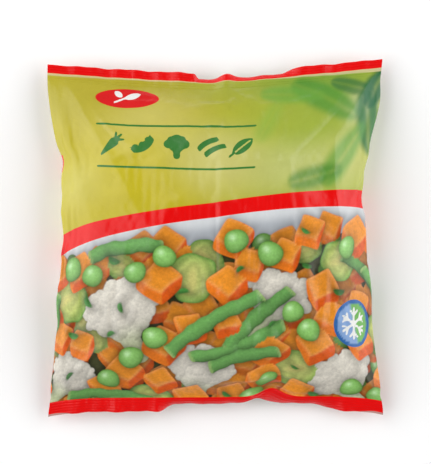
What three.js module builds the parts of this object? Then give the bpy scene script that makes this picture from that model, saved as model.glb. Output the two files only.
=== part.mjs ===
import * as THREE from 'three';

// A pillow bag of frozen vegetables, lying on its back on a flat surface: one tube of printed film, filled, sealed
// flat across both ends, with its long back seam folded down under it. It is shut and opaque, so it is one solid.
// Millimetres, +Z up, +X across the bag, +Y towards its top end. The origin is on the surface, under the middle.

// The film, laid flat
const filmWidth = 200;
const sealDepth = 9.5;
const filmPair = 0.7; // both layers together, drawn a little thicker than real film
const seamThickness = 0.5;
const seamFrom = 0;
const seamTo = 12;

// The filled bag
const fullHeight = 41;
const widestAt = 17; // height of the line along which the sides reach out furthest
const endPower = 3; // how long the bag stays full towards its seals
const endOpening = 0.85; // how bluntly the film leaves a seal, where less is blunter
const flankShare = 0.17; // how much closer together equal steps of film stand at the sides, seen from above
const backFlatFrom = 0.75; // share of fullness from which the back lies flat
const lumpHeight = 2.6;
const lumpSpacing = 19;
const lumpWaves = 7;
const lumpGrowth = 0.14; // each wave is longer than the last by this share of the spacing
const backHollow = 1.1;
const lumpsShow = [0.1, 0.7]; // shares of fullness between which the lumps, and the folds, come to full height
const foldsShow = [0, 0.25];

// How far each side is drawn in by the filling, how high up its waist is and how gently it runs in from the seals,
// and how boxy that side is
const leftSide = { pull: 9.4, waist: 0.6, aboveWaist: 1.6, belowWaist: 0.8, boxy: 2.7 };
const rightSide = { pull: 12.3, waist: 0.66, aboveWaist: 1.9, belowWaist: 0.85, boxy: 3.6 };

// The inner line of each seal: its Y at the middle, how much further out its corners stand, and how much its right
// end leads. height is its Z at the middle. A fold turns the seal's free edge down, by tilt degrees at its cut edge,
// and a pleat pushes the seal along and up, and opens the fold again. Places run from -1 at the left to 1.
const topEnd = {
  toward: 1,
  middle: 88.9,
  cornersOut: 7.4,
  cornerPower: 1.15,
  lead: 1.7,
  height: 13,
  wave: { rise: 1.6, turns: 1.35, start: 0.7 },
  flatTilt: 8,
  fold: { tilt: 84, from: -0.11, fromWidth: 0.05, to: 0.43, toWidth: 0.12 },
  pleats: [{ at: 0.065, width: 0.05, shift: 0.8, lift: 1.5 }],
};
const bottomEnd = {
  toward: -1,
  middle: 93.1,
  cornersOut: 3,
  cornerPower: 7,
  lead: -0.6,
  height: 12,
  wave: { rise: 1.4, turns: 1.1, start: 2.4 },
  flatTilt: 14,
  fold: { tilt: 108, from: -0.3, fromWidth: 0.13, to: 0.66, toWidth: 0.28 },
  pleats: [{ at: 0.33, width: 0.085, shift: -5.5, lift: 4 }],
};
const pleatOpens = 0.45; // share of the fold that a pleat opens

// Stiff folds of film that run in from the corners, each a straight ridge between two points of the front
const creases = [
  { from: [-87, 94], to: [-40, 2], rise: 2.2, width: 7 },
  { from: [97, 96], to: [72, 62], rise: 2.4, width: 5 },
  { from: [72, 62], to: [76, -6], rise: 1.8, width: 4.5 },
  { from: [-92, -92], to: [-70, -52], rise: 1.6, width: 6 },
  { from: [92, -90], to: [74, -58], rise: 1.6, width: 6 },
];
const creaseStart = [-0.15, 0.2]; // shares of its length over which a crease rises, and dies away
const creaseEnd = [0.8, 1.15];

// Gathers that run in from the seals, each at its place across the bag, reaching a share of the bag's length
const gathers = [
  { at: -0.5, toward: 1, rise: 1.3, width: 0.05, reach: 0.16 },
  { at: -0.1, toward: 1, rise: -2, width: 0.035, reach: 0.12 },
  { at: 0.2, toward: 1, rise: 1.2, width: 0.05, reach: 0.2 },
  { at: 0.44, toward: 1, rise: 1.8, width: 0.045, reach: 0.2 },
  { at: -0.62, toward: -1, rise: 1.4, width: 0.05, reach: 0.17 },
  { at: -0.28, toward: -1, rise: 1.8, width: 0.04, reach: 0.15 },
  { at: 0.3, toward: -1, rise: 2.6, width: 0.06, reach: 0.17 },
  { at: 0.6, toward: -1, rise: 1.5, width: 0.05, reach: 0.15 },
];
const gatherFan = 2; // how fast a gather widens, and how far it leans to the middle, on its way in
const gatherLean = 0.5;

// The mesh
const frontColumns = 50;
const backColumns = { left: 15, seam: 2, right: 14 };
const bodyRows = 42;
const sealRows = 3;
const edgeGather = 0.45; // how much closer the rows and columns stand at the edges
const seamSideStep = 0.5;

const mix = THREE.MathUtils.lerp;
const smooth = THREE.MathUtils.smoothstep;
const radians = THREE.MathUtils.degToRad;

/** A rounded bump of height 1 at x = at. */
function bump(x, at, width) {
  return Math.exp(-(((x - at) / width) ** 2));
}

/** count + 1 values from first to last, closer together towards both ends by the share given. */
function spread(first, last, count, closer = 0) {
  return Array.from({ length: count + 1 }, (_, i) => {
    const even = i / count;
    const rounded = (1 - Math.cos(Math.PI * even)) / 2;
    return mix(first, last, mix(even, rounded, closer));
  });
}

/** The inner line of a seal at u, from -1 at the left side of the bag to 1 at the right. */
function sealLine(end, u) {
  let y = end.middle + end.cornersOut * Math.abs(u) ** end.cornerPower + end.lead * u;
  let z = end.height + end.wave.rise * Math.sin(Math.PI * end.wave.turns * u + end.wave.start);
  for (const pleat of end.pleats) {
    y += pleat.shift * bump(u, pleat.at, pleat.width);
    z += pleat.lift * bump(u, pleat.at, pleat.width);
  }
  return { y: end.toward * y, z };
}

/** How far the cut edge of a seal is turned down at u, in radians. */
function sealTilt(end, u) {
  const { tilt, from, fromWidth, to, toWidth } = end.fold;
  const begun = smooth(u, from - fromWidth / 2, from + fromWidth / 2);
  const ended = smooth(u, to - toWidth / 2, to + toWidth / 2);
  let opened = 0;
  for (const pleat of end.pleats) opened = Math.max(opened, pleatOpens * bump(u, pleat.at, pleat.width));
  return radians(mix(end.flatTilt, tilt, begun * (1 - ended) * (1 - opened)));
}

/** A point of the seal, out from its inner line along a bend that turns down evenly. side is 1 on the front. */
function sealPoint(end, u, out, side) {
  const line = sealLine(end, u);
  const bend = sealTilt(end, u) / sealDepth;
  const turned = bend * out;
  const thickness = filmPair / 2 + (side < 0 ? seamAt(u) * seamThickness : 0);
  const y = Math.sin(turned) / bend;
  const z = -(1 - Math.cos(turned)) / bend;
  return new THREE.Vector3(
    (u * filmWidth) / 2,
    line.y + end.toward * (y + side * thickness * Math.sin(turned)),
    line.z + z + side * thickness * Math.cos(turned),
  );
}

/** 1 on the folded seam, which runs the whole length of the back, and 0 beside it. */
function seamAt(u) {
  const x = (u * filmWidth) / 2;
  return x >= seamFrom && x <= seamTo ? 1 : 0;
}

/** Soft bumps where pieces of vegetable push at the film: a few waves that cross at the golden angle. */
function lumps(x, y) {
  const goldenAngle = Math.PI * (3 - Math.sqrt(5));
  let sum = 0;
  for (let k = 0; k < lumpWaves; k++) {
    const turn = k * goldenAngle;
    const length = lumpSpacing * (1 + lumpGrowth * k);
    sum += Math.sin((2 * Math.PI * (x * Math.cos(turn) + y * Math.sin(turn))) / length + k * k);
  }
  return sum / lumpWaves;
}

/** The height that the stiff folds add at a point of the front. */
function creaseHeight(x, y) {
  let sum = 0;
  for (const { from, to, rise, width } of creases) {
    const [alongX, alongY] = [to[0] - from[0], to[1] - from[1]];
    const length = Math.hypot(alongX, alongY);
    const along = ((x - from[0]) * alongX + (y - from[1]) * alongY) / length ** 2;
    const away = ((x - from[0]) * alongY - (y - from[1]) * alongX) / length;
    sum += rise * bump(away, 0, width) * smooth(along, ...creaseStart) * (1 - smooth(along, ...creaseEnd));
  }
  return sum;
}

/** The height that the gathers beside the seals add, at u across the bag and v along it. */
function gatherHeight(u, v) {
  let sum = 0;
  for (const { at, toward, rise, width, reach } of gathers) {
    const away = toward > 0 ? 1 - v : v;
    const across = bump(u, at * (1 - gatherLean * away), width * (1 + gatherFan * away));
    const crest = reach / 4;
    sum += rise * across * smooth(away, 0, crest) * (1 - smooth(away, crest, reach));
  }
  return sum;
}

/** How full the bag is along its length: 0 at the seals' inner lines and 1 in the middle. */
function fullness(v) {
  return (1 - Math.abs(2 * v - 1) ** endPower) ** endOpening;
}

/** How far a side is drawn in at v, from 0 at the bottom seal to 1 at the top one. */
function drawnIn(side, v) {
  const quarterTurn = Math.PI / 2;
  if (v < side.waist) return side.pull * Math.sin((quarterTurn * v) / side.waist) ** side.belowWaist;
  return side.pull * Math.sin((quarterTurn * (1 - v)) / (1 - side.waist)) ** side.aboveWaist;
}

/** A point of the bag between its seals. side is 1 on the front and -1 on the back. */
function bodyPoint(u, v, side) {
  const flank = u < 0 ? leftSide : rightSide;
  const full = fullness(v);
  const halfWidth = filmWidth / 2 - drawnIn(flank, v);
  const across = u * (1 + flankShare * full * (1 - u ** 4));
  const bottom = sealLine(bottomEnd, u);
  const top = sealLine(topEnd, u);
  const x = halfWidth * across;
  const y = mix(bottom.y, top.y, v);
  const edge = mix(mix(bottom.z, top.z, v), widestAt, full);
  const profile = Math.max(0, 1 - Math.abs(across) ** mix(2, flank.boxy, full)) ** mix(1, 0.5, full);
  const swell = full * profile;
  if (side > 0) {
    const relief = lumpHeight * lumps(x, y) * smooth(swell, ...lumpsShow);
    const folds = (creaseHeight(x, y) + gatherHeight(u, v)) * smooth(swell, ...foldsShow);
    return new THREE.Vector3(x, y, edge + filmPair / 2 + (fullHeight - widestAt) * swell + relief + folds);
  }
  const sunk = Math.min(1, swell / backFlatFrom);
  const curve = (edge - filmPair / 2 - seamThickness) * (1 - sunk);
  const hollow = seamThickness + backHollow * Math.max(0, lumps(x, -y)) * sunk;
  return new THREE.Vector3(x, y, curve + (seamAt(u) ? 0 : hollow));
}

/** A row of points across one sheet of the bag. A row is a place in a seal, or v along the body. */
function sheetRow(row, columns, side) {
  if (row.end) return columns.map((u) => sealPoint(row.end, u, row.out, side));
  return columns.map((u) => bodyPoint(u, row.v, side));
}

/** The columns of the back sheet, with a sharp step at each edge of the folded seam. */
function backSheetColumns() {
  const [first, last] = [seamFrom / (filmWidth / 2), seamTo / (filmWidth / 2)];
  const step = seamSideStep / (filmWidth / 2);
  const left = spread(-1, first - step, backColumns.left, edgeGather);
  const right = spread(last + step, 1, backColumns.right, edgeGather);
  return [...left, ...spread(first, last, backColumns.seam), ...right];
}

/** The bag as one closed mesh: a front and a back sheet, joined along both sides and across both cut ends. */
function bagGeometry() {
  const front = spread(-1, 1, frontColumns, edgeGather);
  const back = backSheetColumns();
  const outward = spread(0, sealDepth, sealRows).slice(1);
  const rows = [
    ...outward.toReversed().map((out) => ({ end: bottomEnd, out })),
    ...spread(0, 1, bodyRows, edgeGather).map((v) => ({ v })),
    ...outward.map((out) => ({ end: topEnd, out })),
  ];
  const perRow = front.length + back.length;
  const points = rows.flatMap((row) => [...sheetRow(row, front, 1), ...sheetRow(row, back, -1)]);
  const frontAt = (j, i) => j * perRow + i;
  const backAt = (j, i) => j * perRow + front.length + i;
  const triangles = [];
  const quad = (a, b, c, d) => triangles.push(a, b, c, a, c, d);

  for (let j = 0; j < rows.length - 1; j++) {
    for (let i = 0; i < front.length - 1; i++) {
      quad(frontAt(j, i), frontAt(j, i + 1), frontAt(j + 1, i + 1), frontAt(j + 1, i));
    }
    for (let i = 0; i < back.length - 1; i++) {
      quad(backAt(j, i), backAt(j + 1, i), backAt(j + 1, i + 1), backAt(j, i + 1));
    }
    const [lastFront, lastBack] = [front.length - 1, back.length - 1];
    quad(backAt(j, 0), frontAt(j, 0), frontAt(j + 1, 0), backAt(j + 1, 0));
    quad(frontAt(j, lastFront), backAt(j, lastBack), backAt(j + 1, lastBack), frontAt(j + 1, lastFront));
  }
  for (const j of [0, rows.length - 1]) {
    let [i, k] = [0, 0];
    while (i < front.length - 1 || k < back.length - 1) {
      const frontNext = k === back.length - 1 || (i < front.length - 1 && front[i + 1] <= back[k + 1]);
      const corner = frontNext ? frontAt(j, i + 1) : backAt(j, k + 1);
      const ends = j === 0 ? [backAt(j, k), corner, frontAt(j, i)] : [backAt(j, k), frontAt(j, i), corner];
      triangles.push(...ends);
      if (frontNext) i++;
      else k++;
    }
  }
  const geometry = new THREE.BufferGeometry().setFromPoints(points).setIndex(triangles);
  geometry.computeBoundingBox();
  const { min, max } = geometry.boundingBox;
  return geometry.translate(-(min.x + max.x) / 2, -(min.y + max.y) / 2, -min.z);
}

const film = new THREE.MeshStandardMaterial({ color: 0xc9bf3a, roughness: 0.3, metalness: 0 });
const bag = new THREE.Mesh(bagGeometry(), film);
bag.name = 'bag';

const group = new THREE.Group();
group.add(bag);

export default group;
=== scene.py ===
import math

import bpy
import numpy as np
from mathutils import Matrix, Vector
from mathutils.kdtree import KDTree


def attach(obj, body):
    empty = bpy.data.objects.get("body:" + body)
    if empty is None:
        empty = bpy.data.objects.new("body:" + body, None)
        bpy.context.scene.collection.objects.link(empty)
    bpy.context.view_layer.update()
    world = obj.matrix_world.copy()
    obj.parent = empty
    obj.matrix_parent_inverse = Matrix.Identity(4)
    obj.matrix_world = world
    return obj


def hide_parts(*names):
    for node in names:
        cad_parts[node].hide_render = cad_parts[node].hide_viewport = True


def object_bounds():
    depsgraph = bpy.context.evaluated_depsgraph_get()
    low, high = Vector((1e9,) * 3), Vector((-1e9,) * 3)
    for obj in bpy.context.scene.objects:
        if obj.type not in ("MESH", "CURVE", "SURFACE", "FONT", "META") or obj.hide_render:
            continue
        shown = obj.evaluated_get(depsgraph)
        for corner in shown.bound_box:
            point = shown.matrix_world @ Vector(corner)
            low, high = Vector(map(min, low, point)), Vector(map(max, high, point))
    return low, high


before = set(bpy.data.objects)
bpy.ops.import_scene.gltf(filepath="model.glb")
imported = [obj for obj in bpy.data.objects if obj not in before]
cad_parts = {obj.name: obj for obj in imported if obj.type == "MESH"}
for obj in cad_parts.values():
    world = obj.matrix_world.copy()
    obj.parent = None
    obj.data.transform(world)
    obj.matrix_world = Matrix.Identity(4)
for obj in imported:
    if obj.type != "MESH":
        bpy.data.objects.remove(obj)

scene = bpy.context.scene
cad_low, cad_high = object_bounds()
bpy.ops.object.select_all(action="DESELECT")

# The camera. It hangs a metre over the seals and looks straight down on the bag, which lies on its back, and
# its lens gives the seals the width that they have in the photograph.
photo_height = 464  # pixels, the photograph's long side
mm_per_pixel = 0.595
seal_level = 0.013
camera_over_seals = 1.0
camera_y = 0.0036
bpy.ops.object.camera_add(location=(0, camera_y, seal_level + camera_over_seals), rotation=(0, 0, 0))
camera = bpy.context.object
camera.data.sensor_width = 36
camera.data.lens = camera.data.sensor_width * camera_over_seals / (photo_height * mm_per_pixel / 1000)
scene.camera = camera

# The bag's film: one web of printed polypropylene, folded into a tube and sealed along its back, then sealed
# flat across both ends. Its shape comes first: millimetres, with u across the bag from -1 at the left fold to
# 1 at the right one, and v along it from 0 at the bottom seal's inner line to 1 at the top seal's.
film_width = (cad_high.x - cad_low.x) * 1000
seal_depth = 9.5
half_seal = 0.2  # half the thickness of a seal
crimp_pitch = 1.58
crimp_height = 0.13
fin_width = 12  # the back seam's
fin_thickness = 0.5
full_height = 41
widest_at = 17  # height of the line along which the sides reach out furthest
end_power = 3  # how long the bag stays full towards its seals
end_opening = 0.85  # how bluntly the film leaves a seal, where less is blunter
flank_share = 0.17  # how much closer together equal steps of film stand at the sides, seen from above
back_flat_from = 0.75  # share of fullness from which the back lies flat

# How far the filling draws each side in, how high up its waist is, how gently it runs in above and below that
# waist, and how boxy it is.
sides = {
    "left": {"pull": 9.4, "waist": 0.6, "above_waist": 1.6, "below_waist": 0.8, "boxy": 2.7},
    "right": {"pull": 12.3, "waist": 0.66, "above_waist": 1.9, "below_waist": 0.85, "boxy": 3.6},
}

# Each end has its seal's inner line (y at the middle, how much further out its corners stand, how much its
# right end leads, and its height), that line's wave, the bend in degrees that turns the free edge down, which
# is steeper from one place across the bag to another, and a pleat.
top_end = {
    "toward": 1, "middle": 88.9, "corners_out": 7.4, "corner_power": 1.15, "lead": 1.7, "height": 13,
    "rise": 1.6, "turns": 1.35, "start": 0.7,
    "flat_tilt": 8, "tilt": 84, "fold_from": -0.115, "from_width": 0.035, "fold_to": 0.44, "to_width": 0.11,
    "pleat_at": 0.06, "pleat_width": 0.05, "shift": 0.8, "lift": 1.5, "pleat_leans": 0.02,
}
bottom_end = {
    "toward": -1, "middle": 93.1, "corners_out": 3, "corner_power": 7, "lead": -0.6, "height": 12,
    "rise": 1.4, "turns": 1.1, "start": 2.4,
    "flat_tilt": 14, "tilt": 108, "fold_from": -0.3, "from_width": 0.13, "fold_to": 0.66, "to_width": 0.28,
    "pleat_at": 0.34, "pleat_width": 0.085, "shift": -5.5, "lift": 4, "pleat_leans": -0.08,
}
pleat_opens = 0.45  # share of the bend that a pleat opens
pleat_runs_in = 0.16  # share of the body over which a pleat fades out
edge_wave = 0.45  # how far the free edges of the seals wave up and down


def mix(a, b, share):
    return a + (b - a) * share


def smooth(x, low, high):
    share = np.clip((x - low) / (high - low), 0, 1)
    return share * share * (3 - 2 * share)


def bump(x, at, width):
    return np.exp(-(((x - at) / width) ** 2))


def seal_line(end, u, nearness=1, out=0):
    """y and z of a seal's inner line at u.

    Its pleat fades out into the body, where nearness falls to 0, and leans on its way out to the cut edge.
    """
    pleat = nearness * bump(u, end["pleat_at"] + end["pleat_leans"] * out / seal_depth, end["pleat_width"])
    y = end["middle"] + end["corners_out"] * np.abs(u) ** end["corner_power"]
    y = y + end["lead"] * u + end["shift"] * pleat
    z = end["height"] + end["rise"] * np.sin(np.pi * end["turns"] * u + end["start"]) + end["lift"] * pleat
    return end["toward"] * y, z


def seal_points(end, u, out, front):
    """Points of a seal, out from its inner line along a bend that turns its free edge down."""
    begun = smooth(u, end["fold_from"] - end["from_width"] / 2, end["fold_from"] + end["from_width"] / 2)
    ended = smooth(u, end["fold_to"] - end["to_width"] / 2, end["fold_to"] + end["to_width"] / 2)
    opened = pleat_opens * bump(u, end["pleat_at"] + end["pleat_leans"] / 2, end["pleat_width"])
    folded = begun * (1 - ended) * (1 - opened)
    bend = np.radians(mix(end["flat_tilt"], end["tilt"], folded)) / seal_depth
    slope = bend * out
    y, z = seal_line(end, u, 1, out)
    # The two layers of film meet at the cut edge, which ripples, but not at the corners.
    crimp = crimp_height * np.sin(2 * np.pi * out / crimp_pitch)
    off = crimp + np.where(front, half_seal, -half_seal) * (out < seal_depth - 0.01)
    ripples = np.sin(23 * u + end["start"]) + 0.7 * np.sin(51 * u)
    wave = edge_wave * out / seal_depth * ripples * (1 - u**8)
    y = y + end["toward"] * (np.sin(slope) / bend + off * np.sin(slope) + wave / 2)
    z = z - (1 - np.cos(slope)) / bend + off * np.cos(slope) + wave
    return np.stack([u * film_width / 2, y, z], -1)


def side_value(u, name):
    return np.where(u < 0, sides["left"][name], sides["right"][name])


def drawn_in(u, v):
    """How far a side of the bag is drawn in by the filling."""
    waist = side_value(u, "waist")
    below = np.sin(np.pi / 2 * np.clip(v / waist, 0, 1)) ** side_value(u, "below_waist")
    above = np.sin(np.pi / 2 * np.clip((1 - v) / (1 - waist), 0, 1)) ** side_value(u, "above_waist")
    return side_value(u, "pull") * np.where(v < waist, below, above)


def filled_points(u, v, front):
    """Points of the filled bag between its seals, before the film has wrinkled."""
    full = (1 - np.abs(2 * v - 1) ** end_power) ** end_opening
    across = u * (1 + flank_share * full * (1 - u**4))
    bottom_y, bottom_z = seal_line(bottom_end, u, 1 - smooth(v, 0, pleat_runs_in))
    top_y, top_z = seal_line(top_end, u, 1 - smooth(1 - v, 0, pleat_runs_in))
    edge = mix(mix(bottom_z, top_z, v), widest_at, full)
    boxy = mix(2, side_value(u, "boxy"), full)
    swell = full * np.maximum(0, 1 - np.abs(across) ** boxy) ** mix(1, 0.5, full)
    above = edge + (full_height - widest_at) * swell
    below = fin_thickness + (edge - fin_thickness) * (1 - np.minimum(1, swell / back_flat_from))
    x = (film_width / 2 - drawn_in(u, v)) * across
    return np.stack([x, mix(bottom_y, top_y, v), np.where(front, above, below)], -1)


# Even steps of film are measured along the middle of the front, where the film runs over the filling.
along = np.linspace(0, 1, 2001)
middle_line = filled_points(np.full_like(along, -0.05), along, True)
film_run = np.concatenate([[0], np.cumsum(np.linalg.norm(np.diff(middle_line, axis=0), axis=1))])
body_length = film_run[-1]
web_length = body_length + 2 * seal_depth


def across_bag(s):
    """u at s, a place across the flat web from -film_width to film_width, and if it is on the front."""
    front = np.abs(s) <= film_width / 2
    return np.where(front, s, np.sign(s) * (film_width - np.abs(s))) / (film_width / 2), front


def folded_web(name, points):
    """A web of film with a row of points for each row of the array, before its edges and ends are welded."""
    rows, columns = points.shape[:2]
    bpy.ops.mesh.primitive_grid_add(x_subdivisions=columns - 1, y_subdivisions=rows - 1, size=1)
    web = bpy.context.object
    web.name = web.data.name = name
    web.data.vertices.foreach_set("co", points.ravel())
    bpy.ops.object.select_all(action="DESELECT")
    return web


def weld(piece, reach):
    """Joins the points of a piece that lie within reach of one another."""
    bpy.ops.object.select_all(action="DESELECT")
    piece.select_set(True)
    bpy.context.view_layer.objects.active = piece
    bpy.ops.object.mode_set(mode="EDIT")
    bpy.ops.mesh.select_all(action="SELECT")
    bpy.ops.mesh.remove_doubles(threshold=reach)
    bpy.ops.object.mode_set(mode="OBJECT")


# The filling. Frozen pieces about 17 mm across lie under the film, well inside its corners. It is only there
# for the film to settle on, and is deleted after that.
sim_scale = 0.01  # the cloth solver works at ten times real size
sim_columns = 160
sim_rows = 74
piece_spacing = 17
row_spacing = piece_spacing * 0.87
piece_strays = 6  # how far a piece may lie from its place in the rows
piece_height = 3.4
filling_inset = 2.6
filling_across = 0.94
filling_ends = 0.07
corner_cut = 0.17
lowest_filling = 1.2
web_slack = 1.008  # how much wider the web is than the bag that it was shaped for
draw = np.random.default_rng(5)

body_v = np.interp(np.linspace(0, 1, sim_rows + 1) * body_length, film_run, along)
web_s = np.linspace(-film_width, film_width, sim_columns + 1)
S, V = np.meshgrid(web_s, body_v)
U, on_front = across_bag(S)
start = filled_points(U, V, on_front)

inner_v = np.interp(np.linspace(filling_ends, 1 - filling_ends, 90) * body_length, film_run, along)
inner_s, inner_v = np.meshgrid(np.linspace(-film_width, film_width, 181), inner_v)
inner_u, inner_front = across_bag(inner_s)
inner_u = inner_u * filling_across
core = filled_points(inner_u, inner_v, inner_front)
normals = np.cross(np.gradient(core, axis=1), np.gradient(core, axis=0))
normals /= np.linalg.norm(normals, axis=-1, keepdims=True) + 1e-9
pieces = np.zeros(inner_u.shape)
for x in np.arange(-film_width / 2, film_width / 2, piece_spacing):
    for y in np.arange(-film_width / 2, film_width / 2, row_spacing):
        x_at = x + draw.uniform(-piece_strays, piece_strays)
        y_at = y + draw.uniform(-piece_strays, piece_strays)
        height, radius = piece_height * draw.uniform(0.2, 1), piece_spacing * draw.uniform(0.45, 0.7)
        off = np.hypot(core[..., 0] - x_at, core[..., 1] - y_at) / radius
        pieces = np.maximum(pieces, height * np.clip(1 - off**2.5, 0, 1))
core = core + normals * (np.where(inner_front, pieces, 0) - filling_inset)[..., None]
cut = 1 - corner_cut * np.abs(inner_u) ** 3 * np.abs(2 * inner_v - 1) ** 3
middle = np.array([0, -2, 15])
core = middle + (core - middle) * cut[..., None]
core[..., 2] = np.maximum(core[..., 2], lowest_filling)
filling = folded_web("filling", core * sim_scale)
weld(filling, 0.001)
filling.modifiers.new("hit", "COLLISION")
filling.collision.thickness_outer = 0.003
filling.collision.thickness_inner = 0.05
filling.collision.cloth_friction = 2
bpy.ops.mesh.primitive_plane_add(size=10)
table = bpy.context.object
table.modifiers.new("hit", "COLLISION")
table.collision.thickness_outer = 0.005

settling = folded_web("settling_film", start * sim_scale)
weld(settling, 0.001)
corners = KDTree(len(settling.data.vertices))
for vertex in settling.data.vertices:
    corners.insert(vertex.co, vertex.index)
corners.balance()
flat = np.zeros((len(settling.data.vertices), 3))
welded = np.empty(S.shape, int)
flat_y = (np.linspace(0, 1, sim_rows + 1) - 0.5) * body_length
for row in range(sim_rows + 1):
    for column in range(sim_columns + 1):
        found = corners.find(Vector(start[row, column] * sim_scale))[1]
        welded[row, column] = found
        flat_x = U[row, column] * film_width / 2 * web_slack * sim_scale
        flat[found] = (flat_x, flat_y[row] * sim_scale, 0)
settling.shape_key_add(name="filled", from_mix=False)
laid_flat = settling.shape_key_add(name="laid flat", from_mix=False)
laid_flat.data.foreach_set("co", flat.ravel())
sealed = settling.vertex_groups.new(name="sealed")
sealed.add([int(k) for k in np.unique(welded[[0, -1]])], 1.0, "REPLACE")
cloth = settling.modifiers.new("settle", "CLOTH")
film = cloth.settings
film.quality = 10
film.mass = 0.15
film.tension_stiffness = film.compression_stiffness = 120
film.shear_stiffness = 60
film.bending_stiffness = 0.5
film.tension_damping = film.compression_damping = film.shear_damping = 10
film.bending_damping = 2
film.air_damping = 3
film.vertex_group_mass = "sealed"
film.rest_shape_key = laid_flat
film.use_pressure = True
film.uniform_pressure_force = 0.4
film.use_pressure_volume = True
film.target_volume = 0.94
cloth.collision_settings.distance_min = 0.005
cloth.collision_settings.use_self_collision = False
last_frame = 24
cloth.point_cache.frame_end = last_frame
for step in range(1, last_frame + 1):
    scene.frame_set(step)
settled = settling.evaluated_get(bpy.context.evaluated_depsgraph_get())
places = np.empty(len(settled.data.vertices) * 3)
settled.data.vertices.foreach_get("co", places)
shaped = places.reshape(-1, 3)[welded] / sim_scale
for used in (filling, table, settling):
    bpy.data.objects.remove(used)

# The filling holds the sides of the settled film apart by what the solid has.
web_edges = {"left": sim_columns // 4, "right": sim_columns * 3 // 4}
for side, column in web_edges.items():
    u_here = -1 if side == "left" else 1
    wanted = u_here * (film_width / 2 - drawn_in(np.full_like(body_v, u_here), body_v))
    spread = (wanted / shaped[:, column, 0])[:, None]
    shaped[..., 0] *= np.where(shaped[..., 0] * u_here > 0, spread, 1)

# The finished film. It has a point every 0.9 mm across and every 1.2 mm along, and more for the seals'
# crimped ribs and the steps of the back seam. The back's points lie under the front's, so that the cut ends
# weld shut.
fin_step = 0.15
front_s = np.linspace(-film_width / 2, film_width / 2, 221)
front_s = np.sort(np.append(front_s, [fin_width, fin_width + fin_step, -fin_step]))
left_s = -film_width - front_s[(front_s > -film_width / 2) & (front_s <= 0)][::-1]
right_s = film_width - front_s[(front_s < film_width / 2) & (front_s >= 0)][::-1]
column_s = np.concatenate([left_s, front_s, right_s])
seal_out = np.linspace(0, seal_depth, 25)[1:]
body_run = np.linspace(0, body_length, 161)
row_t = [seal_depth - seal_out[::-1], seal_depth + body_run, seal_depth + body_length + seal_out]
row_t = np.concatenate(row_t)


def spline_weights(count, places):
    """How much each of count values in a row gives to places between them, on a smooth curve through them."""
    cell = np.clip(np.floor(places), 0, count - 2).astype(int)
    f = places - cell
    shares = (-f + 2 * f**2 - f**3, 2 - 5 * f**2 + 3 * f**3, f + 4 * f**2 - 3 * f**3, f**3 - f**2)
    weights = np.zeros((len(places), count))
    for step, share in zip((-1, 0, 1, 2), shares):
        np.add.at(weights, (np.arange(len(places)), np.clip(cell + step, 0, count - 1)), share / 2)
    return weights


S, T = np.meshgrid(column_s, row_t)
U, on_front = across_bag(S)
down = spline_weights(sim_rows + 1, body_run / body_length * sim_rows)
over = spline_weights(sim_columns + 1, (column_s / film_width + 1) / 2 * sim_columns)
body = np.einsum("jr,rck,ic->jik", down, shaped, over)
layers_part = 4  # how far from a seal its two layers of film part
layer_off = half_seal * np.exp(-np.minimum(body_run, body_length - body_run) / layers_part)[:, None]
body[..., 2] += np.where(on_front[0], 1, -1) * (np.abs(U[0]) < 1) * layer_off
bottom = [seal_points(bottom_end, U[0], out, on_front[0]) for out in seal_out[::-1]]
top = [seal_points(top_end, U[0], out, on_front[0]) for out in seal_out]
points = np.concatenate([bottom, body, top])

# The back lies over the floor by the thickness of its seam, which leaves room for the seam.
points[..., 2] += fin_thickness - points[..., 2].min()

# The two side folds run in and out a little where the film is creased: -1 for the left one and 1 for the
# right one, then the place along the web, the reach along it and the depth.
for side, at_t, reach, depth in (
    (-1, 154, 7, 2.4), (-1, 108, 10, 2.0), (-1, 62, 9, 1.6), (-1, 11, 7, 1.3),
    (1, 202, 12, 1.7), (1, 154, 6, -1.0), (1, 128, 9, 2.3), (1, 80, 15, -1.7), (1, 12, 6, 1.3),
):
    points[..., 0] -= side * depth * bump(T, at_t, reach) * smooth(side * U, 0.55, 1)

# Stiff folds stay in the film where it was bent: in from the corners and the seals, and along the flanks.
# Each has its two ends on the flat web, its rise and its width.
folds = (
    ((-90, 210), (-33, 112), 1.2, 12), ((99, 211), (68, 170), 1.4, 9), ((68, 172), (73, 98), 1.2, 7),
    ((-96, 11), (-66, 44), 1.0, 8), ((97, 12), (72, 52), 1.1, 8), ((86, 62), (74, 100), 0.8, 6),
    ((-84, 84), (-90, 128), 0.8, 6), ((8, 205), (12, 178), 0.6, 5), ((34, 14), (30, 40), 0.7, 6),
)
for (from_s, from_t), (to_s, to_t), rise, width in folds:
    along_s, along_t = to_s - from_s, to_t - from_t
    share = ((S - from_s) * along_s + (T - from_t) * along_t) / (along_s**2 + along_t**2)
    off = np.hypot(S - from_s - share * along_s, T - from_t - share * along_t)
    runs_out = np.clip(1 - (2 * share - 1) ** 4, 0, 1) * (np.abs(share - 0.5) < 0.5)
    points[..., 2] += rise * np.maximum(0, 1 - off / width) ** 2 * runs_out

# The back seam, a folded strip of film that lies flat under the back and fades out at the end seals.
from_end = np.minimum(T, web_length - T)
on_fin = ((S >= film_width - fin_width) | (S <= -film_width)) * smooth(from_end, seal_depth, seal_depth + 3)
points[..., 2] -= fin_thickness * on_fin

# The film lies along y where the solid does.
solid_middle = (cad_low.y + cad_high.y) / 2 * 1000
points[..., 1] += solid_middle - (points[..., 1].min() + points[..., 1].max()) / 2


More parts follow.
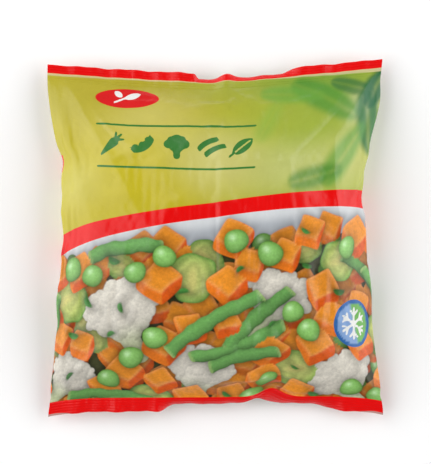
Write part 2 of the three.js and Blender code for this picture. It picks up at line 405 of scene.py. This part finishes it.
# The print, worked out at every point of the film in millimetres of the flat web. Each ink holds the distance
# to its edge, below zero inside, so that its edge stays sharp between the points, and its colours near that
# edge. The red band and strips, the green field and the picture of loose vegetables are all drawn here from
# plain shapes.
def linear(colour):
    """An sRGB hex colour as three linear values."""
    value = np.array([int(colour[k : k + 2], 16) for k in (1, 3, 5)]) / 255
    return np.where(value <= 0.04045, value / 12.92, ((value + 0.055) / 1.055) ** 2.4)


strip_edges = {"bottom": 8.6, "top": web_length - 5.2}


def band_line(s):
    """The middle of the red band: highest at the right of the front, with ends that meet at the back seam."""
    top_t, top_s, bend, seam_t = 131, 55, 0.00117, 84
    half = film_width / 2
    fold = half * np.sign(s)
    round_back = np.clip(np.abs(s) / half - 1, 0, 1)
    fall = -2 * bend * np.abs(fold - top_s) * half
    start_share = 2 * round_back**3 - 3 * round_back**2 + 1
    slope_share = round_back**3 - 2 * round_back**2 + round_back
    on_back = mix(seam_t, top_t - bend * (fold - top_s) ** 2, start_share) + fall * slope_share
    return np.where(np.abs(s) <= half, top_t - bend * (s - top_s) ** 2, on_back)


band_middle = band_line(S)
band_half = 4.3 + np.where(S < 0, 2.1, 0.9) * np.minimum(np.abs(S) / 100, 1) ** 2
band_low = band_middle - band_half

# The red ink: the band, a short bar on the back and the strips at the two seals. At the lower corners the
# strip stops just short of the cut edge.
corner_slit = 1.4 * smooth(np.abs(S), 82, 96) * (np.abs(S) < 104)
back_label = np.maximum(np.abs(S + 131) - 33.4, np.abs(T - 152) - 5)
red_distance = np.minimum.reduce([
    np.abs(T - band_middle) - band_half,
    back_label,
    np.maximum(T - strip_edges["bottom"], corner_slit - T),
    strip_edges["top"] - T,
])

# The field above the band is a blurred garden: soft patches of light and leaf green on yellow-green.
field = linear("#c4b62b") + np.zeros((*S.shape, 3))


def patch(s, t, across, along, turn, colour, strength, blur=1.0):
    """A soft oval patch of colour in the field, blurred by a share of its own size."""
    angle = math.radians(turn)
    x = (S - s) * math.cos(angle) + (T - t) * math.sin(angle)
    y = (T - t) * math.cos(angle) - (S - s) * math.sin(angle)
    reach = np.sqrt((x / across) ** 2 + (y / along) ** 2)
    share = strength * (1 - smooth(reach, 1 - blur, 1 + blur))
    return field + share[..., None] * (linear(colour) - field)


def leaf(s, t, length, width, turn, colour, strength, blur):
    """A blurred pointed leaf with a paler middle rib."""
    angle = math.radians(turn)
    x = (S - s) * math.cos(angle) + (T - t) * math.sin(angle)
    y = (T - t) * math.cos(angle) - (S - s) * math.sin(angle)
    half = width / 2 * np.sqrt(np.maximum(0, 1 - (2 * x / length) ** 2)) * (1 - 0.4 * x / length)
    inside = smooth(half - np.abs(y), -blur, blur) * smooth(length / 2 - np.abs(x), -blur, blur)
    rib = 0.35 * np.exp(-((y / (0.1 * width)) ** 2))
    share = strength * inside * (1 - rib)
    return field + share[..., None] * (linear(colour) - field)


for soft in (
    (-104, 168, 40, 80, 0, "#cfbc40", 0.7), (-60, 150, 50, 26, 20, "#cabb1e", 0.8),
    (-20, 196, 60, 18, -6, "#b0a21e", 0.85), (-78, 196, 34, 22, 12, "#b9ad3a", 0.8),
    (36, 172, 40, 46, 20, "#b2b83a", 0.8), (92, 170, 60, 60, 0, "#8fae44", 0.85),
    (-38, 182, 26, 15, 24, "#d4cb72", 0.65), (2, 156, 24, 17, -12, "#d6d084", 0.75),
    (-84, 140, 20, 12, 10, "#d9d070", 0.6), (44, 150, 19, 13, 8, "#cdd086", 0.65),
    (12, 205, 34, 10, 0, "#a3ab44", 0.6), (70, 204, 36, 14, -8, "#74a33c", 0.8),
    (88, 186, 12, 9, 20, "#dde2b8", 0.8), (84, 152, 22, 15, 0, "#cdcf7c", 0.8),
    (-200, 160, 85, 70, 0, "#c6bf42", 0.9), (200, 160, 85, 70, 0, "#c6c648", 0.9),
):
    field = patch(*soft)
for soft in (
    (64, 192, 48, 19, -38, "#4c9436", 0.75, 3.5), (92, 174, 42, 17, -74, "#277640", 0.92, 3),
    (44, 197, 38, 13, -8, "#6fa83f", 0.7, 3), (76, 156, 46, 16, 52, "#5ea23c", 0.7, 3.5),
    (97, 198, 34, 15, 60, "#1d6a3f", 0.95, 2.5), (58, 144, 36, 12, 12, "#47892f", 0.75, 3),
    (30, 180, 32, 9, 64, "#8fb445", 0.6, 4), (82, 199, 30, 12, -24, "#1d6b3c", 0.7, 2),
):
    field = leaf(*soft)

# A pale line under the top strip is a painted highlight, where the film leaves the seal. It widens towards
# the corners.
highlight_width = 0.3 + np.interp(S, (-100, 20, 100), (1.1, 0, 1.9))
seal_edge_highlight = smooth(T - strip_edges["top"] + highlight_width, -0.2, 0.2)[..., None]
field = mix(field, linear("#e3d3a4"), 0.75 * seal_edge_highlight)

# Below the band the picture has the pale rim of a dish, and the plain back of the bag goes on in pale green.
rim = mix(linear("#dfe2e4"), linear("#b9bec4"), smooth(band_low - T, 1, 9)[..., None])
below_band = (T < band_middle)[..., None]
field = np.where(below_band, rim, field)
picture_half = 124
back_panel = mix(linear("#d5d990"), linear("#c0c765"), smooth(T, 10, 110)[..., None])
off_picture = smooth(np.abs(S), picture_half - 0.3, picture_half + 0.3)[..., None] * below_band
field = mix(field, back_panel, off_picture)

# Where the bottom strip stops short, the film has a pink tinge.
field = mix(field, linear("#dba9a0"), (T < strip_edges["bottom"] - 2)[..., None])

# The vegetables: drawn as a heap of several inks, each over the last.
draw = np.random.default_rng(23)


def pile_line(s):
    """How high the heap reaches on the flat web."""
    return band_line(s) - 12.5 + 3.5 * smooth(-s, 55, 95) + 1.6 * np.sin(s / 9.5) + 1.1 * np.sin(s / 4.3 + 1)


def new_ink():
    """An ink that has printed nothing yet, so that its edge is far from every point."""
    return {"distance": np.full(S.shape, 20.0), "colour": np.zeros((*S.shape, 3))}


def print_shape(ink, s, t, reach, shape, *facts):
    """Prints one shape, a little uneven as a cut vegetable is, where it is nearer than the ink's others."""
    here = (np.abs(S - s) < reach + 5) & (np.abs(T - t) < reach + 5)
    x, y = S[here] - s, T[here] - t
    distance, colour = shape(x + 0.45 * np.sin(y / 2.7 + s), y + 0.45 * np.sin(x / 3.1 + t), *facts)
    nearer = distance < ink["distance"][here]
    ink["distance"][here] = np.where(nearer, distance, ink["distance"][here])
    ink["colour"][here] = np.where(nearer[:, None], colour, ink["colour"][here])


def turned(x, y, degrees):
    angle = math.radians(degrees)
    return x * math.cos(angle) + y * math.sin(angle), y * math.cos(angle) - x * math.sin(angle)


def carrot_die(x, y, size, turn, tone):
    """A carrot die seen from above, with its top and the two faces on its near side."""
    angle = math.radians(turn)
    edges = size * np.array([
        [math.cos(angle), 0.85 * math.sin(angle)], [-math.sin(angle), 0.85 * math.cos(angle)], [0, -0.42],
    ])
    outline = []
    for edge in edges:
        normal = np.array([-edge[1], edge[0]]) / np.linalg.norm(edge)
        outline.append(np.abs(x * normal[0] + y * normal[1]) - np.abs(edges @ normal).sum() / 2)
    soft = 0.7
    distance = soft * np.log(sum(np.exp(side / soft) for side in outline)) + 0.3
    a, b, drop = edges
    near = -drop / 2 + (a if a[1] < 0 else -a) / 2 + (b if b[1] < 0 else -b) / 2
    top = []
    for edge, other in ((a, b), (b, a)):
        normal = np.array([-edge[1], edge[0]]) / np.linalg.norm(edge)
        off_middle = (x + drop[0] / 2) * normal[0] + (y + drop[1] / 2) * normal[1]
        top.append(np.abs(off_middle) - abs(other @ normal) / 2)
    on_top = 1 - smooth(np.maximum(*top), -0.8, 0.5)[:, None]
    on_right = smooth(x - near[0], -0.5, 0.5)[:, None]
    streak = 1 + 0.05 * np.sin(turned(x, y, turn)[0] * 1.1 + turn)[:, None]
    faces = mix(linear("#ee7c1e"), linear("#e35e16"), on_right)
    faces = mix(faces, linear("#f2972c"), on_top)
    # A painted highlight: a faint lighter line just inside the top face's edges, where the cut edges catch
    # the light.
    top_edge_highlight = np.exp(-((np.maximum(*top) + 0.6) ** 2))[:, None] * 0.05
    return distance, faces * tone * streak + top_edge_highlight


def pea(x, y, size, tone):
    """A pea, lit from above its left."""
    reach = np.hypot(x, y) / size
    facing = np.sqrt(np.maximum(0, 1 - np.minimum(reach, 1) ** 2))
    light = 0.42 + 0.5 * facing + 0.22 * (0.7 * y - 0.4 * x) / size
    shine = np.exp(-((x / size + 0.3) ** 2 + (y / size - 0.35) ** 2) / 0.07)
    colour = mix(linear("#6faa42"), linear("#8ec66c"), facing[:, None]) * (tone * light)[:, None] * 1.15
    return (reach - 1) * size, colour + 0.3 * shine[:, None]


def bean(x, y, length, thick, turn, bow, tone):
    """A cut green bean."""
    x, y = turned(x, y, turn)
    y = y - bow * (1 - (2 * x / length) ** 2)
    half = thick * (1 + 0.07 * np.cos(2 * np.pi * x / 9 + turn))
    off_side, off_end, corner = np.abs(y) - half, np.abs(x) - length / 2, 1.5
    rounded = np.hypot(off_side + corner, off_end + corner) - corner
    at_corner = (off_side > -corner) & (off_end > -corner)
    distance = np.where(at_corner, rounded, np.maximum(off_side, off_end))
    across = np.clip(y / half, -1, 1)
    up = across if math.cos(math.radians(turn)) > 0 else -across
    light = 0.45 + 0.5 * np.sqrt(1 - across**2) + 0.24 * up + 0.1 * np.exp(-(((up - 0.35) / 0.18) ** 2))
    colour = linear("#72ae5c") * (tone * light)[:, None]
    cut = smooth(off_end, -1.9, -1.3)[:, None]
    return distance, mix(colour, linear("#a5c277") * tone, 0.7 * cut)


def sprout_half(x, y, size, turn, tone):
    """A halved sprout, with its pale core and the rings of its packed leaves."""
    x, y = turned(x, y, turn)
    around = np.arctan2(y, x)
    reach = np.hypot(x, 1.12 * y) / size
    edge = 1 + 0.035 * np.sin(3 * around + turn) + 0.02 * np.sin(7 * around)
    rings = np.sin(reach * 15 + 2.2 * np.sin(around + turn) + 1.2 * np.sin(4 * around + turn))
    colour = mix(linear("#c3cc74"), linear("#93b55a"), smooth(reach, 0.45, 1)[:, None])
    core = 1 - smooth(np.hypot(x / size + 0.1, (y / size) / 0.35), 0.2, 0.75)[:, None]
    colour = mix(colour, linear("#dbd57e"), core)
    colour = colour * (1 + 0.13 * rings * smooth(reach, 0.15, 0.5))[:, None]
    colour = mix(colour, linear("#5f9440"), smooth(reach / edge, 0.9, 1.0)[:, None])
    return (reach / edge - 1) * size, colour * tone


def floret(x, y, size, turn, tone):
    """A cauliflower floret: a dome of curds on its forked stalk."""
    x, y = turned(x, y, turn)
    distance = np.full(x.shape, 30.0)
    height = np.full(x.shape, -30.0)
    light = np.zeros(x.shape)
    stalks = ((0, -0.95), (0, 0), 0.22), ((0, -0.6), (-0.45, -0.05), 0.15), ((0, -0.6), (0.45, -0.05), 0.15)
    for foot, head, thick in stalks:
        along_x, along_y = (head[0] - foot[0]) * size, (head[1] - foot[1]) * size
        to_x, to_y = x - foot[0] * size, y - foot[1] * size
        share = np.clip((to_x * along_x + to_y * along_y) / (along_x**2 + along_y**2), 0, 1)
        off = np.hypot(to_x - share * along_x, to_y - share * along_y)
        distance = np.minimum(distance, off - thick * size)
        rise = np.sqrt(np.maximum(0, (thick * size) ** 2 - off**2)) - 6
        light = np.where(rise > height, 0.74 + 0.2 * (1 - (off / thick / size) ** 2), light)
        height = np.maximum(height, rise)
    curds = np.random.default_rng(int(abs(turn) * 7 + size))
    lobes = curds.uniform(0.82, 1.12, 7)
    for k in range(60):
        bearing = 2.4 * k
        out = 0.7 * math.sqrt((k + 0.5) / 60) * lobes[int(bearing / (2 * math.pi) * 7) % 7]
        at_x = size * out * math.cos(bearing) + curds.uniform(-1, 1)
        at_y = size * (0.78 * out * math.sin(bearing) + 0.12) + curds.uniform(-1, 1)
        radius = size * curds.uniform(0.09, 0.19)
        off = np.hypot(x - at_x, y - at_y)
        distance = np.minimum(distance, off - radius)
        rise = np.sqrt(np.maximum(0, radius**2 - off**2)) + 0.35 * size * (1 - out**2)
        lit_x, lit_y = turned((x - at_x) / radius, (y - at_y) / radius, -turn)
        shade = 0.9 + 0.16 * lit_y - 0.08 * lit_x - 0.07 * np.minimum(off / radius, 1) ** 3
        shade = shade + 0.08 * (turned(np.array(at_x), np.array(at_y), -turn)[1] / size)
        over = (off < radius) & (rise > height)
        light = np.where(over, shade, light)
        height = np.where(over, rise, height)
    light = np.where(light == 0, 0.72, light)
    warm = smooth(y / size, -0.9, -0.1)[:, None]
    flesh = mix(linear("#d2dcae"), linear("#eae4d6"), warm)
    return distance, flesh * (tone * np.maximum(light, 0.5))[:, None]


def herb(x, y, length, turn, tone):
    """A fleck of chopped leaf."""
    x, y = turned(x, y, turn)
    reach = np.sqrt((2 * x / length) ** 2 + (y / (0.24 * length) + 0.5 * (2 * x / length) ** 2) ** 2)
    light = tone * (0.8 + 0.5 * smooth(y, -0.5, 0.8))
    return (reach - 1) * 0.24 * length, linear("#3f7a35") * light[:, None]


def free_places(tries, reach, apart, taken=()):
    """Random places in the heap, at least apart from one another and from those taken."""
    found = []
    for _ in range(tries):
        s, t = draw.uniform(-picture_half - 4, picture_half + 4), draw.uniform(4, 124)
        if t + 0.6 * reach > pile_line(s):
            continue
        others = [(*place, apart) for place in found] + list(taken)
        if all(math.hypot(s - a, t - b) > gap for a, b, gap in others):
            found.append((s, t))
    return found


heap = [new_ink() for _ in range(5)]
gap_ink, low_ink, middle_ink, upper_ink, top_ink = heap
gap_ink["distance"] = np.maximum(T - pile_line(S) + 8, np.abs(S) - picture_half)
gap_ink["colour"][:] = linear("#4c4f26")

for s, t in free_places(1600, 7, 11.5):
    kind = draw.random()
    if kind < 0.62:
        size, turn, tone = draw.uniform(13, 17), draw.uniform(15, 75), draw.uniform(0.72, 0.95)
        print_shape(low_ink, s, t, 14, carrot_die, size, turn, tone)
    elif kind < 0.85:
        print_shape(low_ink, s, t, 10, pea, draw.uniform(6, 7), draw.uniform(0.6, 0.85))
    else:
        size, turn, tone = draw.uniform(9, 11), draw.uniform(0, 360), draw.uniform(0.7, 0.9)
        print_shape(low_ink, s, t, 12, sprout_half, size, turn, tone)

# The larger shapes have their places: s and t of the middle, the size and the turn.
florets = (
    (-50, 66, 27, 18), (34, 76, 25, -34), (74, 24, 26, 30), (-8, 30, 25, -12), (-86, 26, 22, -40),
    (112, 88, 20, 10), (-114, 88, 18, -60),
)
sprouts = (
    (-84, 74, 15.5, 30), (-12, 88, 14.5, 80), (44, 30, 15.5, 200), (104, 52, 14, 310), (-38, 8, 13, 140),
    (72, 96, 13, 20),
)
for s, t, size, turn in florets:
    print_shape(middle_ink, s, t, size + 4, floret, size, turn, 1)
for s, t, size, turn in sprouts:
    print_shape(middle_ink, s, t, size + 3, sprout_half, size, turn, draw.uniform(0.9, 1.05))
taken = [(s, t, 0.75 * size + 4) for s, t, size, turn in florets]
taken += [(s, t, size + 2) for s, t, size, turn in sprouts]


def lay_beans(ink, beans):
    """Prints beans and returns the places that they take up."""
    places = []
    for s, t, length, turn, bow in beans:
        print_shape(ink, s, t, length / 2 + 5, bean, length, 4.2, turn, bow, draw.uniform(0.85, 1.05))
        over, up = math.cos(math.radians(turn)), math.sin(math.radians(turn))
        places += [(s + k * length * over, t + k * length * up, 11.5) for k in (-0.4, -0.2, 0, 0.2, 0.4)]
    return places


# Each bean has its place, length, turn and bow.
beans = (12, 50, 56, 22, -3), (24, 62, 50, 44, 3), (-48, 102, 42, 10, 3), (92, 84, 46, -40, 3)
taken += lay_beans(upper_ink, beans)
for s, t in free_places(900, 9, 16.5, taken):
    size, turn, tone = draw.uniform(13.5, 18), draw.uniform(15, 75), draw.uniform(0.92, 1.06)
    print_shape(upper_ink, s, t, 15, carrot_die, size, turn, tone)
beans = (
    (0, 60, 62, 34, 4), (-62, 8, 54, -8, 4), (102, 72, 44, -58, 3), (-102, 60, 42, 62, -3),
    (16, 38, 40, 14, 3),
)
taken = lay_beans(top_ink, beans)

# Peas lie in clusters, up to four around each of these places, and flecks of leaf lie between them.
clusters = (
    (-30, 96), (-70, 92), (18, 106), (46, 66), (-36, 44), (88, 16), (24, 12), (-104, 48), (-60, 34), (84, 94),
)
for at_s, at_t in clusters:
    for k in range(4):
        s, t = at_s + draw.uniform(-13, 13), at_t + draw.uniform(-10, 10)
        size = draw.uniform(6, 7.2)
        if t + 0.8 * size > pile_line(s) or any(math.hypot(s - a, t - b) < gap for a, b, gap in taken):
            continue
        print_shape(top_ink, s, t, size + 2, pea, size, draw.uniform(0.85, 1.1))
        taken.append((s, t, 2 * size + 0.4))
for s, t in free_places(120, 4, 17, taken):
    print_shape(top_ink, s, t, 7, herb, draw.uniform(5, 9), draw.uniform(0, 180), draw.uniform(0.7, 1.2))


# The labels: five small green drawings between two rules, a red oval badge with a white sprig, and a round
# badge in blue and green with a snowflake.
def stroke(x, y, from_x, from_y, to_x, to_y, thick, end_thick):
    """Distance to a straight stroke that tapers."""
    along_x, along_y = to_x - from_x, to_y - from_y
    share = np.clip(((x - from_x) * along_x + (y - from_y) * along_y) / (along_x**2 + along_y**2), 0, 1)
    off = np.hypot(x - from_x - share * along_x, y - from_y - share * along_y)
    return off - mix(thick, end_thick, share) / 2


def oval(x, y, half_wide, half_high):
    """Distance to an oval, near enough beside its edge."""
    return (np.hypot(x / half_wide, y / half_high) - 1) * min(half_wide, half_high)


def pointed_leaf(x, y, length, width):
    """Distance to a leaf shape: where two circles overlap."""
    radius = (length**2 + width**2) / (4 * width)
    return np.hypot(x, np.abs(y) + radius - width / 2) - radius


label_ink = new_ink()
drawings_t = 164
rules = [stroke(S, T, -66, drawings_t + k, 22, drawings_t + k, 1.4, 1.4) for k in (13, -13)]
x, y = S + 58, T - drawings_t
carrot = [stroke(x, y, -5.5, -6, 2.2, 1.8, 1.2, 5.6)]
carrot += [stroke(x, y, 3.2, 2.8, *tip, 1.6, 1.4) for tip in ((3.6, 7.6), (6.6, 6.6), (7.8, 3.4))]
x, y = turned(S + 39, T - drawings_t, 38)
shell = np.maximum(oval(x, y - 8, 11, 11), -oval(x, y - 12.4, 11.4, 11.4))
pod = [shell, *(oval(x - k, y - 0.8 - k**2 / 26, 1.9, 1.9) for k in (-4.4, 0, 4.4))]
pod = [np.maximum(distance, np.abs(x) - 7.2) for distance in pod]
x, y = S + 21, T - drawings_t
curds = (-4.4, 1.6, 2.7), (4.4, 1.6, 2.7), (0, 4.4, 3.2), (-2.6, 4, 2.6), (2.6, 4, 2.6), (0, 1.8, 3)
cauliflower = [oval(x - a, y - b, radius, radius) for a, b, radius in curds]
stalks = (0, 0, 0, -5.5, 3.2, 3.8), (0, -3.6, -3.6, -0.6, 2, 1.6), (0, -3.6, 3.6, -0.6, 2, 1.6)
cauliflower += [stroke(x, y, *stalk) for stalk in stalks]
x, y = turned(S + 2, T - drawings_t, 28)
places = (-0.8, 4), (0.8, -1.4)
two_beans = [np.maximum(np.abs(y - b + 0.035 * x**2) - 1.6, np.abs(x - a) - 6.4) for a, b in places]
x, y = turned(S - 15, T - drawings_t, 40)
blade = np.maximum(pointed_leaf(x, y, 15, 7.5), -stroke(x, y, -5.5, 0, 5.5, 0, 1, 1))
bay_leaf = [blade, stroke(x, y, -9.5, 0, -6.5, 0, 1.3, 1.3)]
label = np.minimum.reduce([*rules, *carrot, *pod, *cauliflower, *two_beans, *bay_leaf])
badge_s, badge_t = -50.5, 196
red_badge = oval(S - badge_s, T - badge_t, 18.5, 7.2)
x, y = S - 81, T - 59
frost_badge = np.hypot(x, y) - 14
panes = mix(linear("#86a9da"), linear("#74b95c"), smooth(x + 0.25 * y, -1, 1)[..., None])
panes = mix(panes, linear("#2c68ae"), smooth(frost_badge, -2.4, -2)[..., None])
label_ink["distance"] = np.minimum.reduce([label, red_badge, frost_badge])
label_ink["colour"] = np.where((red_badge < 6)[..., None], linear("#dd1a1c"), linear("#3a7d36"))
label_ink["colour"] = np.where((frost_badge < 6)[..., None], panes, label_ink["colour"])
flake = []
for turn in (0, 60, 120):
    along_arm, beside_arm = turned(x, y, turn + 30)
    flake.append(stroke(along_arm, beside_arm, -9, 0, 9, 0, 1.5, 1.5))
    flake.append(stroke(np.abs(along_arm), np.abs(beside_arm), 4.8, 0, 7.8, 2.8, 1.3, 1.3))
x, y = turned(S - badge_s, T - badge_t, 24)
sprig = [pointed_leaf(x - 3.4, y, 10, 4.6), stroke(x, y, -7.5, -0.4, -1, 0, 1.3, 1.3)]
x, y = turned(S - badge_s + 3.7, T - badge_t - 0.6, -44)
white_distance = np.minimum.reduce([*flake, *sprig, pointed_leaf(x + 2.6, y - 0.4, 7.4, 3.6)])

# Each layer of the heap casts a soft shade on the layers below it, and the whole heap on the rim.
for k, ink in enumerate(heap):
    for other in heap[k + 1 :]:
        ink["colour"] *= 1 - 0.5 * np.exp(-np.maximum(other["distance"], 0) / 2.4)[..., None]
    ink["distance"] = np.maximum.reduce([ink["distance"], np.abs(S) - picture_half, 4 - T])
    ink["colour"] = np.clip(ink["colour"], 0, 1)
from_heap = np.maximum(np.minimum.reduce([ink["distance"] for ink in heap]), 0)
rim_shade = 1 - 0.45 * np.exp(-from_heap / 3)
in_picture = (T < band_low) & (np.abs(S) < picture_half)
field = np.where(in_picture[..., None], field * rim_shade[..., None], field)

# The film as a mesh. The map "web" has its places on the flat web, which the print's noises run over, and the
# map "OFBake" gives the front most of the room.
bag_film = folded_web("bag_film", points / 1000)
corner_of = np.empty(len(bag_film.data.loops), int)
bag_film.data.loops.foreach_get("vertex_index", corner_of)
on_back = 0.12  # share of the bake's width for each half of the back
maps = {
    "web": (S / film_width / 2 + 0.5, T / web_length),
    "OFBake": (np.interp(S, film_width * np.array([-1, -0.5, 0.5, 1]), [0.003, on_back, 1 - on_back, 0.997]),
               mix(0.003, 0.997, T / web_length)),
}
for name, places in maps.items():
    uv = bag_film.data.uv_layers.get(name) or bag_film.data.uv_layers.new(name=name)
    uv.uv.foreach_set("vector", np.stack(places, -1).reshape(-1, 2)[corner_of].ravel())
for uv in [uv for uv in bag_film.data.uv_layers if uv.name not in maps]:
    bag_film.data.uv_layers.remove(uv)
inks = {**{f"vegetables_{k}": ink for k, ink in enumerate(heap, 1)}, "labels": label_ink}
distances = {"red": red_distance, "white": white_distance}
colours = {"field": field}
for name, ink in inks.items():
    distances[name], colours[name] = ink["distance"], ink["colour"]
for name, values in distances.items():
    edge = bag_film.data.attributes.new(f"{name}_edge", "FLOAT", "POINT")
    edge.data.foreach_set("value", values.astype(np.float32).ravel())
for name, values in colours.items():
    shade = bag_film.data.attributes.new(f"{name}_colour", "FLOAT_COLOR", "POINT")
    shade.data.foreach_set("color", np.dstack([values, np.ones(S.shape)]).astype(np.float32).ravel())
weld(bag_film, 0.00002)

# Its material: biaxially drawn polypropylene film, printed on the inside, so that the ink has a smooth gloss
# over it. Fine crinkles break up the reflections, more of them beside the seals, where the film is gathered.
printed_film = bpy.data.materials.new("printed_polypropylene_film")
printed_film.use_nodes = True
nodes, links = printed_film.node_tree.nodes, printed_film.node_tree.links
principled = nodes["Principled BSDF"]


def node(kind, settings=None, **sockets):
    """Adds a node with its settings, and gives its sockets a value or a link from another node's output."""
    made = nodes.new(kind)
    for name, value in (settings or {}).items():
        setattr(made, name, value)
    for name, value in sockets.items():
        key = int(name[1:]) if name[1:].isdigit() else name.replace("_", " ")
        if isinstance(value, bpy.types.NodeSocket):
            links.new(value, made.inputs[key])
        else:
            made.inputs[key].default_value = value
    return made


def print_over(below, name, colour, softness):
    """Prints an ink over what is below it, inside its edge."""
    edge = node("ShaderNodeAttribute", {"attribute_name": f"{name}_edge"}).outputs["Fac"]
    across_edge = {"From_Min": -softness, "From_Max": softness, "To_Min": 1.0, "To_Max": 0.0}
    inside = node("ShaderNodeMapRange", Value=edge, **across_edge).outputs["Result"]
    return node("ShaderNodeMix", {"data_type": "RGBA"}, _0=inside, _6=below, _7=colour).outputs[2]


web = node("ShaderNodeUVMap", {"uv_map": "web"}).outputs["UV"]
in_mm = node("ShaderNodeMapping", Vector=web, Scale=(2 * film_width, web_length, 1)).outputs["Vector"]
printed = node("ShaderNodeAttribute", {"attribute_name": "field_colour"}).outputs["Color"]
multiply = {"data_type": "RGBA", "blend_type": "MULTIPLY"}
flesh_mm = 1.6  # the vegetables' own mottling
flesh = node("ShaderNodeTexNoise", Vector=in_mm, Scale=1 / flesh_mm, Detail=3.0, Roughness=0.6).outputs["Fac"]
light_and_dark = {"From_Min": 0.25, "From_Max": 0.75, "To_Min": 0.84, "To_Max": 1.14}
mottling = node("ShaderNodeMapRange", Value=flesh, **light_and_dark).outputs["Result"]
for name in inks:
    shade = node("ShaderNodeAttribute", {"attribute_name": f"{name}_colour"}).outputs["Color"]
    if name == "labels":
        printed = print_over(printed, "red", (*linear("#ee0202"), 1), 0.12)
        printed = print_over(printed, name, shade, 0.12)
    else:
        shade = node("ShaderNodeMix", multiply, _0=1.0, _6=shade, _7=mottling).outputs[2]
        printed = print_over(printed, name, shade, 0.35)
printed = print_over(printed, "white", (*linear("#f2f2ee"), 1), 0.12)

# Ink lies a little unevenly: blotches some 9 mm wide.
blotch_mm = 9
blotches = node("ShaderNodeTexNoise", Vector=in_mm, Scale=1 / blotch_mm, Detail=2.0).outputs["Fac"]
unevenness = node("ShaderNodeMapRange", Value=blotches, To_Min=0.84, To_Max=0.96).outputs["Result"]
printed = node("ShaderNodeMix", multiply, _0=1.0, _6=printed, _7=unevenness).outputs[2]
links.new(printed, principled.inputs["Base Color"])
principled.inputs["Roughness"].default_value = 0.27
principled.inputs["IOR"].default_value = 1.49
principled.inputs["Specular IOR Level"].default_value = 0.34
principled.inputs["Coat Weight"].default_value = 0.08
principled.inputs["Coat Roughness"].default_value = 0.12

# Crinkles: creases about 7 mm apart that run any way, and gathers 5 mm apart that run in from the seals.
crease_mm = 7
crumple = {"Scale": 1 / crease_mm, "Detail": 3.0, "Roughness": 0.55, "Distortion": 0.6}
creases = node("ShaderNodeTexNoise", Vector=in_mm, **crumple).outputs["Fac"]
gather_mm = 5
gather_length = 9 * gather_mm
per_mm = (1 / gather_mm, 1 / gather_length, 1)
drawn_out = node("ShaderNodeMapping", Vector=in_mm, Scale=per_mm).outputs["Vector"]
gathers = node("ShaderNodeTexNoise", Vector=drawn_out, Scale=1.0, Detail=2.0, Distortion=0.4).outputs["Fac"]
along_web = node("ShaderNodeSeparateXYZ", Vector=in_mm).outputs["Y"]
off_middle = node("ShaderNodeMath", {"operation": "SUBTRACT"}, _0=along_web, _1=web_length / 2).outputs[0]
from_middle = node("ShaderNodeMath", {"operation": "ABSOLUTE"}, _0=off_middle).outputs[0]
gathered_part = {"From_Min": web_length * 0.26, "From_Max": web_length * 0.45}
near_seal = node("ShaderNodeMapRange", Value=from_middle, **gathered_part).outputs["Result"]
gathers = node("ShaderNodeMath", {"operation": "MULTIPLY"}, _0=gathers, _1=near_seal).outputs[0]
relief = node("ShaderNodeMath", {"operation": "MULTIPLY_ADD"}, _0=gathers, _1=1.3, _2=creases).outputs[0]
crinkles = node("ShaderNodeBump", Height=relief, Strength=0.22, Distance=0.0012)
links.new(crinkles.outputs["Normal"], principled.inputs["Normal"])
links.new(crinkles.outputs["Normal"], principled.inputs["Coat Normal"])
bag_film.data.materials.append(printed_film)
bpy.ops.object.select_all(action="DESELECT")
bag_film.select_set(True)
bpy.context.view_layer.objects.active = bag_film
bpy.ops.object.shade_smooth_by_angle(angle=math.radians(50))
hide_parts("bag")
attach(bag_film, "root")

# The floor is a sheet of matt white paper, laid flat under the bag. Its fibres scatter the light, so it is an
# even white with no gloss.
bpy.ops.object.select_all(action="DESELECT")
bpy.ops.mesh.primitive_plane_add(size=6)
floor = bpy.context.object
floor.name = floor.data.name = "floor"
paper = bpy.data.materials.new("matt_white_paper")
paper.use_nodes = True
paper.node_tree.nodes["Principled BSDF"].inputs["Base Color"].default_value = (*linear("#fdfdfd"), 1)
paper.node_tree.nodes["Principled BSDF"].inputs["Roughness"].default_value = 0.9
floor.data.materials.append(paper)

# The studio: a white room whose ceiling is dark over the camera, so that the print keeps its full colour, and
# whose walls beyond the two seals are in shade. A large softbox stands at each side, which the bag's flanks
# show as a haze.
scene.view_settings.view_transform = "Standard"
world = bpy.data.worlds.new("white_room")
scene.world = world
world.use_nodes = True
nodes, links = world.node_tree.nodes, world.node_tree.links
direction = node("ShaderNodeTexCoord").outputs["Generated"]
split = node("ShaderNodeSeparateXYZ", Vector=direction)
ceiling = {"From_Min": 0.55, "From_Max": 0.9, "To_Min": 0.86, "To_Max": 0.08}
room_light = node("ShaderNodeMapRange", Value=split.outputs["Z"], **ceiling).outputs["Result"]
towards_ends = node("ShaderNodeMath", {"operation": "ABSOLUTE"}, _0=split.outputs["Y"]).outputs[0]
end_walls = {"From_Min": 0.45, "From_Max": 0.85, "To_Min": 1.0, "To_Max": 0.3}
wall_shade = node("ShaderNodeMapRange", Value=towards_ends, **end_walls).outputs["Result"]
room_light = node("ShaderNodeMath", {"operation": "MULTIPLY"}, _0=room_light, _1=wall_shade).outputs[0]
links.new(room_light, nodes["Background"].inputs["Strength"])
nodes["Background"].inputs["Color"].default_value = (1, 1, 1, 1)
for name, place, size, power in (
    ("left_softbox", (-1.5, 0.4, 1.15), 2.8, 42),
    ("right_softbox", (1.7, 0.3, 0.98), 2.5, 34.5),
):
    bpy.ops.object.light_add(type="AREA", location=place)
    light = bpy.context.object
    light.name = name
    light.data.size = size
    light.data.energy = power
    light.rotation_euler = (-Vector(place)).to_track_quat("-Z", "Y").to_euler()
